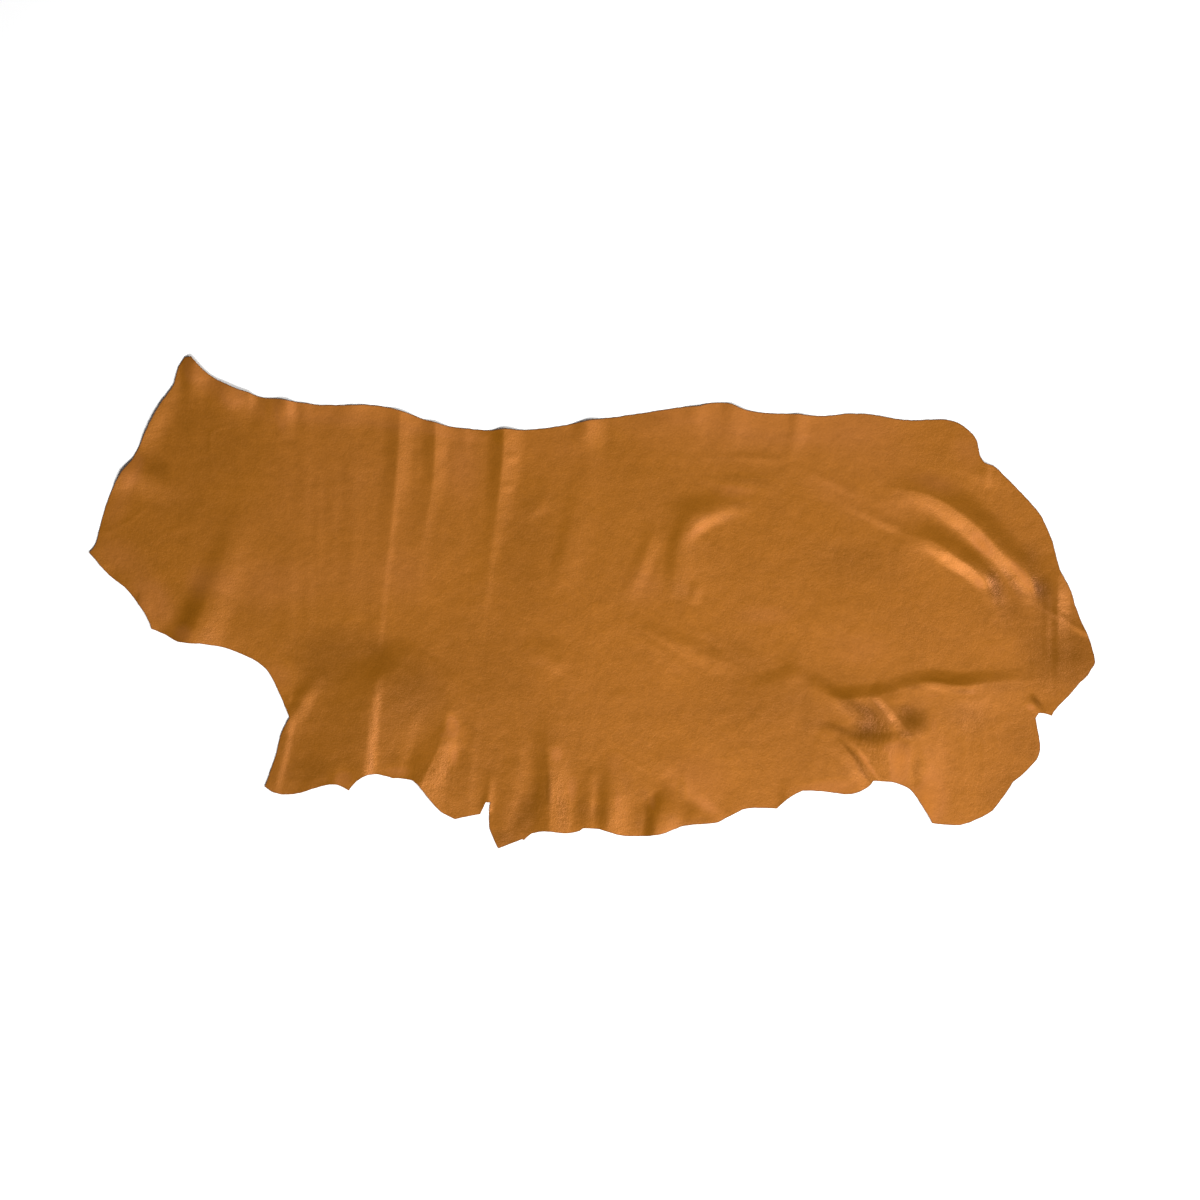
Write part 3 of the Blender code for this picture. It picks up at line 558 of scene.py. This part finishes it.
GRAIN_DARK = (0.2170, 0.0734, 0.0012)  # the grain side's colour, at its darkest and its palest
GRAIN_PALE = (0.3420, 0.1158, 0.0024)
WORLD = 0.10
KEY = 151
SIDE = 209
CAMERA_HEIGHT = 12.0



def turns(points):
    """How far the edge turns at each point, above 0 to the left, and 0 at a corner, where it turns more than CORNER."""
    before, after = points - np.roll(points, 1, 0), np.roll(points, -1, 0) - points
    turn = np.arctan2(before[:, 0] * after[:, 1] - before[:, 1] * after[:, 0], (before * after).sum(1))
    return np.where(np.abs(turn) > CORNER, 0, turn)


def edge_points(step):
    """The closed edge: each section's arc, cut into facets no longer than step, with the small waver of a knife cut."""
    points = np.array([(row["x"], row["y"]) for part in EDGES for row in part]) * MM
    chords = np.roll(points, -1, 0) - points
    lengths = np.hypot(*chords.T)
    turn = turns(points)
    before = turn * lengths / (lengths + np.roll(lengths, 1))
    after = np.roll(turn * np.roll(lengths, 1) / (lengths + np.roll(lengths, 1)), -1)
    bows = lengths / 8 * (before + after)
    out = []
    for start, chord, bow in zip(points, chords, bows):
        out_of = np.array([chord[1], -chord[0]]) / np.hypot(*chord)
        count = max(1, math.ceil(np.hypot(*chord) / step))
        for k in range(count):
            u = k / count
            out.append(start + u * chord + 4 * u * (1 - u) * bow * out_of)
    out = np.array(out)
    out += outward(out) * (0.45 * MM * noise(out, 9 * MM, 1) + 0.5 * MM * noise(out, 31 * MM, 2))[:, None]
    return out


def outward(loop):
    """The direction out of an anticlockwise loop at each of its points."""
    ahead = np.roll(loop, -1, axis=0) - np.roll(loop, 1, axis=0)
    ahead /= np.hypot(*ahead.T)[:, None]
    return np.column_stack([ahead[:, 1], -ahead[:, 0]])


def noise(xy, cell, seed):
    """Smooth noise from about -1 to 1, with bumps about two cells across."""
    grid = np.random.default_rng(SEED * 1000 + seed).uniform(-1, 1, (997, 1009))
    p = xy / cell + 300.37
    i = np.floor(p).astype(int)
    f = p - i
    f = f * f * f * (f * (f * 6 - 15) + 10)
    i0, j0 = i[:, 0] % 997, i[:, 1] % 1009
    i1, j1 = (i0 + 1) % 997, (j0 + 1) % 1009
    u, v = f[:, 0], f[:, 1]
    return (grid[i0, j0] * (1 - u) + grid[i1, j0] * u) * (1 - v) + (grid[i0, j1] * (1 - u) + grid[i1, j1] * u) * v


def smooth_line(points, step):
    """A Catmull-Rom line through the points, which are x, y and any more columns, as points about step apart."""
    p = np.array(points, float) * MM
    p = np.vstack([2 * p[0] - p[1], p, 2 * p[-1] - p[-2]])
    out = []
    for a, b, c, d in zip(p, p[1:], p[2:], p[3:]):
        for t in np.arange(0, 1, 1 / max(1, round(np.hypot(*(c - b)[:2]) / step))):
            out.append(0.5 * (2 * b + (c - a) * t + (2 * a - 5 * b + 4 * c - d) * t**2 + (3 * b - a - 3 * c + d) * t**3))
    return np.array(out + [p[-2]])


def along(line, xy):
    """For each point of xy: its signed distance from the line, left of it above 0, how far along it is, 0 to 1, and the line's height there."""
    best = np.full(len(xy), np.inf)
    side, share, tall = np.zeros(len(xy)), np.zeros(len(xy)), np.zeros(len(xy))
    lengths = np.hypot(*np.diff(line[:, :2], axis=0).T)
    reached = np.concatenate([[0], np.cumsum(lengths)])
    for k, (a, b) in enumerate(zip(line, line[1:])):
        run = (b - a)[:2]
        t = np.clip(((xy - a[:2]) @ run) / lengths[k] ** 2, 0, 1)
        off = xy - (a[:2] + t[:, None] * run)
        dist = np.hypot(*off.T)
        near = dist < best
        best[near] = dist[near]
        side[near] = np.where((run[0] * off[:, 1] - run[1] * off[:, 0])[near] >= 0, 1.0, -1.0)
        share[near] = (reached[k] + t[near] * lengths[k]) / reached[-1]
        tall[near] = a[2] + t[near] * (b[2] - a[2])
    return best * side, share, tall


def reach_of(row, xy):
    """Which points one fold reaches, how far off its crest they are, as a share of its width, the width, and the crest's height."""
    line = smooth_line(row["crest"], 9 * MM)
    most = max(row["left"], row["right"]) * max(1, row["narrows"]) * MM
    low, high = line[:, :2].min(0) - most, line[:, :2].max(0) + most
    near = np.flatnonzero(((xy > low) & (xy < high)).all(1))
    off, share, tall = along(line, xy[near])
    width = np.where(off >= 0, row["left"], row["right"]) * (1 + (row["narrows"] - 1) * share) * MM
    return near, np.abs(off) / width, width, np.maximum(tall, 0)


def height(xy):
    """The flesh side's height above the surface."""
    z = 0.35 * MM + 0.24 * MM * noise(xy, 34 * MM, 3) + 0.45 * MM * noise(xy, 96 * MM, 4) + 0.09 * MM * noise(xy, 15 * MM, 5)
    for row in MAIN_FOLDS + CREASES:
        near, u, width, tall = reach_of(row, xy)
        u = np.clip(u, 0, 1)
        z[near] += tall * ((1 - row["sharp"]) * 0.5 * (1 + np.cos(math.pi * u)) + row["sharp"] * (1 - u) ** 2)
    for row in MOUNDS:
        u = np.hypot((xy[:, 0] / MM - row["x"]) / row["across"], (xy[:, 1] / MM - row["y"]) / row["along"])
        u = np.clip(u, 0, 1)
        z += row["rise"] * MM * (1 - u) ** 2 * (1 + 2 * u)
    return np.maximum(z, 0)  # flat where it touches


def busy(xy):
    """Which points are on a fold or crease, where the mesh is fine."""
    found = np.zeros(len(xy), bool)
    for row in MAIN_FOLDS + CREASES:
        near, u, width, tall = reach_of(row, xy)
        found[near] |= u * width < np.minimum(width * 1.05, 26 * MM + 3.4 * tall)
    return found


def inside(edge, xy):
    """Which points lie within the edge."""
    found = np.zeros(len(xy), bool)
    for (x1, y1), (x2, y2) in zip(edge, np.roll(edge, -1, axis=0)):
        crosses = np.flatnonzero((y1 > xy[:, 1]) != (y2 > xy[:, 1]))
        p = xy[crosses]
        found[crosses] ^= p[:, 0] < (x2 - x1) * (p[:, 1] - y1) / (y2 - y1) + x1
    return found


def lattice(edge, step):
    """A lattice of equal triangles over the edge's box, kept within the edge."""
    low, high = edge.min(0), edge.max(0)
    out = []
    for k, y in enumerate(np.arange(low[1], high[1], step * math.sqrt(0.75))):
        x = np.arange(low[0] + (k % 2) * step / 2, high[0], step)
        out.append(np.column_stack([x, np.full(len(x), y)]))
    out = np.vstack(out)
    return out[inside(edge, out)]


def tree_of(xy):
    tree = KDTree(len(xy))
    for k, (x, y) in enumerate(xy):
        tree.insert((x, y, 0), k)
    tree.balance()
    return tree


def clear_of(tree, xy, gap):
    """The points that are more than gap from every point in the tree."""
    return xy[[tree.find((x, y, 0))[2] > gap for x, y in xy]]


def crest_points(edge, step):
    """Rows of points along each fold's crest, so that it stays a clean line in the mesh."""
    taken = {}
    out = []
    for row in MAIN_FOLDS + CREASES:
        if row["sharp"] < 0.25:
            continue
        line = smooth_line(row["crest"], step)[:, :2]
        ahead = np.gradient(line, axis=0)
        ahead /= np.hypot(*ahead.T)[:, None]
        left_of = np.column_stack([-ahead[:, 1], ahead[:, 0]])
        for off in (0, -0.9, 0.9):
            for x, y in line + off * step * left_of:
                cell = (int(x // (step * 0.8)), int(y // (step * 0.8)))
                near = [p for a in (-1, 0, 1) for b in (-1, 0, 1) for p in taken.get((cell[0] + a, cell[1] + b), ())]
                if all((x - p[0]) ** 2 + (y - p[1]) ** 2 > (0.75 * step) ** 2 for p in near):
                    taken.setdefault(cell, []).append((x, y))
                    out.append((x, y))
    out = np.array(out)
    return out[inside(edge, out)]


def sheet_mesh(loop, fine, flat):
    """One side of the sheet: points and triangles within the loop, whose points come first."""
    xy = clear_of(tree_of(loop), crest_points(loop, fine), 0.7 * fine)
    kept = np.vstack([loop, xy])
    xy = lattice(loop, fine)
    xy = clear_of(tree_of(kept), xy[busy(xy)], 0.66 * fine)
    kept = np.vstack([kept, xy])
    kept = np.vstack([kept, clear_of(tree_of(kept), lattice(loop, flat), 0.6 * flat)])
    count = len(loop)
    points, _, faces, _, _, _ = delaunay_2d_cdt([Vector(p) for p in kept], [(k, (k + 1) % count) for k in range(count)], [], 1, 1e-7)
    if len(points) != len(kept):
        raise RuntimeError("the mesh's edge crosses itself")
    faces = np.array(faces)
    a, b, c = kept[faces[:, 0]], kept[faces[:, 1]], kept[faces[:, 2]]
    turned = np.cross(b - a, c - a) < 0
    faces[turned] = faces[turned][:, ::-1]
    return kept, faces


def band(a, b, count):
    """The quads between two rings of vertices that start at a and at b."""
    k = np.arange(count)
    after = (k + 1) % count
    return np.column_stack([a + k, b + k, b + after, a + after])


def build_hide():
    edge = edge_points(EDGE_STEP)
    out_of = outward(edge)
    count = len(edge)
    grain, grain_faces = sheet_mesh(edge - BEVEL * out_of, FINE_STEP, FLAT_STEP)
    flesh, flesh_faces = sheet_mesh(edge - 0.25 * MM * out_of, FINE_STEP * UNDER, FLAT_STEP * UNDER)
    rings = [(0.3, 0.80), (0.0, 0.48)]  # the rounded cut: how far in, mm, and how high in the thickness
    parts = [(grain, height(grain) + THICKNESS)]
    for back, up in rings:
        at = edge - back * MM * out_of
        parts.append((at, height(at) + up * THICKNESS))
    parts.append((flesh, height(flesh)))
    first = np.cumsum([0] + [len(p) for p, _ in parts])
    verts = np.vstack([np.column_stack([p - CENTRE, z]) for p, z in parts])
    quads = np.vstack([band(first[k], first[k + 1], count) for k in range(3)])
    tris = np.vstack([grain_faces, flesh_faces[:, ::-1] + first[3]])

    mesh = bpy.data.meshes.new("hide_side")
    mesh.vertices.add(len(verts))
    mesh.vertices.foreach_set("co", verts.ravel())
    mesh.loops.add(tris.size + quads.size)
    mesh.loops.foreach_set("vertex_index", np.concatenate([tris.ravel(), quads.ravel()]).astype(np.int32))
    starts = np.concatenate([np.arange(len(tris)) * 3, tris.size + np.arange(len(quads)) * 4])
    mesh.polygons.add(len(starts))
    mesh.polygons.foreach_set("loop_start", starts.astype(np.int32))
    kinds = np.concatenate([np.zeros(len(grain_faces)), np.ones(len(flesh_faces)), np.full(len(quads), 2)])
    mesh.polygons.foreach_set("material_index", kinds.astype(np.int32))
    mesh.update(calc_edges=True)
    mesh.validate()
    mesh.shade_smooth()

    # the grain and flesh sides keep their own shading up to the cut
    ends = np.zeros(len(mesh.edges) * 2, np.int32)
    mesh.edges.foreach_get("vertices", ends)
    ends = ends.reshape(-1, 2)
    on = lambda a: ((ends >= a) & (ends < a + count)).all(1)
    sharp = mesh.attributes.new("sharp_edge", "BOOLEAN", "EDGE")
    sharp.data.foreach_set("value", on(0) | on(first[3]))

    xy = verts[:, :2] + CENTRE
    cut = tree_of(edge)
    far = np.array([cut.find((x, y, 0))[2] for x, y in xy])
    put(mesh, "from_cut", far / MM)
    # the first attribute holds stains and wear together with painted shade and painted highlights
    for name, rows in (("tone_and_painted_light", TONE_PATCHES_AND_PAINTED_LIGHT), ("loose", LOOSE)):
        value = np.zeros(len(xy))
        for row in rows:
            turn = math.radians(row["turn"])
            x, y = xy[:, 0] / MM - row["x"], xy[:, 1] / MM - row["y"]
            x, y = math.cos(turn) * x + math.sin(turn) * y, math.cos(turn) * y - math.sin(turn) * x
            u = np.clip(np.hypot(x / row["across"], y / row["along"]), 0, 1)
            value += row["amount"] * (1 - u) ** 2 * (1 + 2 * u)
        put(mesh, name, value)
    hide = bpy.data.objects.new("hide_side", mesh)
    bpy.context.scene.collection.objects.link(hide)
    return hide


def put(mesh, name, values):
    """A value for each vertex, which the materials read by name."""
    mesh.attributes.new(name, "FLOAT", "POINT").data.foreach_set("value", values.astype(np.float32))


class Nodes:
    """A material's nodes, added and linked in one call each."""

    def __init__(self, name):
        self.material = bpy.data.materials.new(name)
        self.material.use_nodes = True
        self.tree = self.material.node_tree
        self.shader = next(n for n in self.tree.nodes if n.type == "BSDF_PRINCIPLED")

    def add(self, kind, settings=None, **inputs):
        node = self.tree.nodes.new(kind)
        for key, value in (settings or {}).items():
            setattr(node, key, value)
        for key, value in inputs.items():
            self.set(node.inputs[key.replace("_", " ")], value)
        return node

    def set(self, socket, value):
        if isinstance(value, bpy.types.NodeSocket):
            self.tree.links.new(value, socket)
        elif isinstance(value, bpy.types.Node):
            self.tree.links.new(value.outputs[0], socket)
        else:
            socket.default_value = value

    def math(self, operation, a, b=0.0, clamp=False):
        node = self.tree.nodes.new("ShaderNodeMath")
        node.operation = operation
        node.use_clamp = clamp
        self.set(node.inputs[0], a)
        self.set(node.inputs[1], b)
        return node.outputs[0]

    def ramp(self, value, low, high, to_low=0.0, to_high=1.0):
        """value from low to high becomes to_low to to_high, clamped and eased."""
        node = self.add("ShaderNodeMapRange", {"interpolation_type": "SMOOTHSTEP"}, Value=value)
        for key, v in (("From Min", low), ("From Max", high), ("To Min", to_low), ("To Max", to_high)):
            node.inputs[key].default_value = v
        return node.outputs[0]

    def mix(self, share, a, b, blend="MIX"):
        node = self.tree.nodes.new("ShaderNodeMix")
        node.data_type = "RGBA"
        node.blend_type = blend
        self.set(node.inputs[0], share)
        self.set(node.inputs[6], a)
        self.set(node.inputs[7], b)
        return node.outputs[2]

    def noise(self, where, scale, detail=2.0, roughness=0.5, stretch=None):
        if stretch:
            where = self.add("ShaderNodeMapping", Vector=where, Scale=stretch).outputs[0]
        return self.add("ShaderNodeTexNoise", Vector=where, Scale=scale, Detail=detail, Roughness=roughness).outputs[0]

    def bump(self, tall, distance, strength=1.0, after=None):
        node = self.add("ShaderNodeBump", Height=tall, Distance=distance, Strength=strength)
        if after is not None:
            self.tree.links.new(after, node.inputs["Normal"])
        return node.outputs[0]

    def finish(self, **inputs):
        for key, value in inputs.items():
            self.set(self.shader.inputs[key.replace("_", " ")], value)
        return self.material


def colour(r, g, b):
    return (r, g, b, 1.0)


def grain_side():
    """The smooth finished side: warm tan with a satin, slightly metallic glow, fine pores, soft mottling and growth
    marks, and patches of stain and wear mixed with painted shade and painted highlights.
    """
    m = Nodes("grain_side")
    where = m.add("ShaderNodeTexCoord").outputs["Object"]
    tone_and_painted_light = m.add("ShaderNodeAttribute", {"attribute_name": "tone_and_painted_light"}).outputs["Fac"]
    cut = m.add("ShaderNodeAttribute", {"attribute_name": "from_cut"}).outputs["Fac"]
    loose = m.add("ShaderNodeAttribute", {"attribute_name": "loose"}).outputs["Fac"]
    fine = m.noise(where, 260, 3, 0.6)
    soft = m.noise(where, 38, 3, 0.55)
    speckle = m.noise(where, 125, 2, 0.6)
    broad = m.noise(where, 6.5, 2, 0.5)
    along_x = m.noise(where, 30, 2, 0.5, (0.35, 1.0, 1.0))
    pores = m.add("ShaderNodeTexVoronoi", {"feature": "DISTANCE_TO_EDGE"}, Vector=where, Scale=520.0).outputs["Distance"]
    creping = m.noise(where, 120, 3, 0.6, (1.0, 0.45, 1.0))

    shade = m.math("ADD", m.math("MULTIPLY", m.math("SUBTRACT", fine, 0.5), 0.62), m.math("MULTIPLY", m.math("SUBTRACT", soft, 0.5), 0.30))
    shade = m.math("ADD", shade, m.math("MULTIPLY", m.math("SUBTRACT", broad, 0.5), 0.30))
    shade = m.math("ADD", shade, m.math("MULTIPLY", m.math("SUBTRACT", speckle, 0.5), 0.26))
    shade = m.math("ADD", shade, m.math("MULTIPLY", m.math("SUBTRACT", along_x, 0.5), 0.16))
    base = m.mix(m.math("ADD", shade, 0.5, clamp=True), colour(*GRAIN_DARK), colour(*GRAIN_PALE))
    # The grain is darker within about 3 mm of the cut. The tone patches darken or pale the colour: partly real stains
    # and wear, partly painted shade and painted highlights; where they pale it the blue rises too, giving the painted
    # highlights a paler hue.
    rim = m.ramp(cut, 0.2, 3.4, 0.62, 1.0)
    lightness = m.math("MULTIPLY", rim, m.math("ADD", m.math("MULTIPLY", tone_and_painted_light, 0.24), 1.0))
    pale = m.math("ADD", lightness, m.math("MULTIPLY", m.math("MINIMUM", m.math("MAXIMUM", tone_and_painted_light, 0.0), 0.45), 9.0))
    tint = m.add("ShaderNodeCombineColor", Red=lightness, Green=lightness, Blue=pale)
    base = m.mix(1.0, base, tint.outputs[0], "MULTIPLY")

    normal = m.bump(m.ramp(pores, 0.0, 0.22), 0.00005, 0.45)
    normal = m.bump(fine, 0.0008, 0.42, normal)
    normal = m.bump(soft, 0.0030, 0.22, normal)
    normal = m.bump(m.math("MULTIPLY", creping, loose), 0.0030, 0.55, normal)
    rough = m.math("ADD", m.math("MULTIPLY", m.math("SUBTRACT", soft, 0.5), 0.10), m.math("ADD", m.math("MULTIPLY", m.math("SUBTRACT", fine, 0.5), 0.08), 0.44))
    rough = m.math("ADD", rough, m.math("MULTIPLY", m.math("MAXIMUM", tone_and_painted_light, -1.1), 0.12))
    return m.finish(Base_Color=base, Roughness=rough, Normal=normal, Metallic=0.35, Specular_IOR_Level=0.5, Specular_Tint=colour(1, 0.56, 0.60))


def flesh_side():
    """The napped underside: paler, dull, with short fibres brushed in patches."""
    m = Nodes("flesh_side")
    where = m.add("ShaderNodeTexCoord").outputs["Object"]
    nap = m.noise(where, 420, 4, 0.7, (1.0, 0.5, 1.0))
    patch = m.noise(where, 24, 3, 0.6)
    broad = m.noise(where, 5, 2, 0.5)
    shade = m.math("ADD", m.math("MULTIPLY", m.math("SUBTRACT", nap, 0.5), 0.8), m.math("MULTIPLY", m.math("SUBTRACT", patch, 0.5), 0.7))
    shade = m.math("ADD", m.math("ADD", shade, m.math("MULTIPLY", m.math("SUBTRACT", broad, 0.5), 0.6)), 0.5, clamp=True)
    base = m.mix(shade, colour(0.235, 0.105, 0.034), colour(0.42, 0.225, 0.095))
    normal = m.bump(patch, 0.004, 0.25, m.bump(nap, 0.0007, 0.8))
    return m.finish(Base_Color=base, Roughness=m.ramp(nap, 0.3, 0.7, 0.84, 0.97), Normal=normal, Specular_IOR_Level=0.2, Sheen_Weight=0.25, Sheen_Roughness=0.5)


def cut_edge():
    """The knife cut: raw fibre between the two sides, darker where it was handled."""
    m = Nodes("cut_edge")
    where = m.add("ShaderNodeTexCoord").outputs["Object"]
    fibre = m.noise(where, 900, 3, 0.7, (1.0, 1.0, 2.5))
    lightness = m.noise(where, 45, 2, 0.5)
    shade = m.math("ADD", m.math("MULTIPLY", fibre, 0.6), m.math("MULTIPLY", lightness, 0.4))
    base = m.mix(m.ramp(shade, 0.3, 0.7), colour(0.15, 0.055, 0.012), colour(0.27, 0.115, 0.032))
    return m.finish(Base_Color=base, Roughness=m.ramp(fibre, 0.3, 0.7, 0.7, 0.88), Normal=m.bump(fibre, 0.0004, 0.6), Specular_IOR_Level=0.3)


def area_light(name, at, aim, size, power, spread=180):
    light = bpy.data.lights.new(name, "AREA")
    light.shape = "RECTANGLE"
    light.size, light.size_y = size
    light.energy = power
    light.spread = math.radians(spread)
    obj = bpy.data.objects.new(name, light)
    bpy.context.scene.collection.objects.link(obj)
    obj.location = at
    obj.rotation_euler = (Vector(aim) - Vector(at)).to_track_quat("-Z", "Y").to_euler()
    obj.visible_camera = False


def studio():
    scene = bpy.context.scene
    scene.view_settings.view_transform = "Standard"
    scene.view_settings.look = "None"
    scene.world = bpy.data.worlds.new("studio")
    scene.world.use_nodes = True
    tree = scene.world.node_tree
    tree.nodes.clear()
    out = tree.nodes.new("ShaderNodeOutputWorld")
    mix = tree.nodes.new("ShaderNodeMixShader")
    seen = tree.nodes.new("ShaderNodeLightPath")
    ambient, backdrop = tree.nodes.new("ShaderNodeBackground"), tree.nodes.new("ShaderNodeBackground")
    ambient.inputs["Strength"].default_value = WORLD
    backdrop.inputs["Strength"].default_value = 1.0
    for node in (ambient, backdrop):
        node.inputs["Color"].default_value = (1, 1, 1, 1)
    tree.links.new(seen.outputs["Is Camera Ray"], mix.inputs[0])
    tree.links.new(ambient.outputs[0], mix.inputs[1])
    tree.links.new(backdrop.outputs[0], mix.inputs[2])
    tree.links.new(mix.outputs[0], out.inputs["Surface"])
    area_light("key", (0.1, -3.4, 4.6), (0.6, 2.2, 0), (2.2, 1.6), KEY, 110)
    area_light("side", (6.0, -2.4, 8.2), (-0.5, 0.8, 0), (2.5, 4.5), SIDE, 90)

    camera = bpy.data.objects.new("camera", bpy.data.cameras.new("camera"))
    scene.collection.objects.link(camera)
    camera.location = (0.018, 0.0055, CAMERA_HEIGHT)  # straight above, looking down
    camera.data.sensor_width = 36
    camera.data.lens = 36 * CAMERA_HEIGHT / 2.76  # 2.76 m of floor across the frame
    camera.data.clip_end = 100
    scene.camera = camera

    floor = bpy.data.meshes.new("floor")
    floor.from_pydata([(-30, -30, 0), (30, -30, 0), (30, 30, 0), (-30, 30, 0)], [], [(0, 1, 2, 3)])
    floor = bpy.data.objects.new("floor", floor)
    floor.location = (0, 0, -0.0003)
    scene.collection.objects.link(floor)
    m = Nodes("floor")
    where = m.add("ShaderNodeTexCoord").outputs["Object"]
    pale = m.mix(m.noise(where, 3, 2, 0.5), colour(0.94, 0.94, 0.94), colour(0.96, 0.96, 0.96))
    floor.data.materials.append(m.finish(Base_Color=pale, Roughness=0.9, Specular_IOR_Level=0.1))


hide = build_hide()
for material in (grain_side(), flesh_side(), cut_edge()):
    hide.data.materials.append(material)
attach(hide, "root")
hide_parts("hide")
studio()
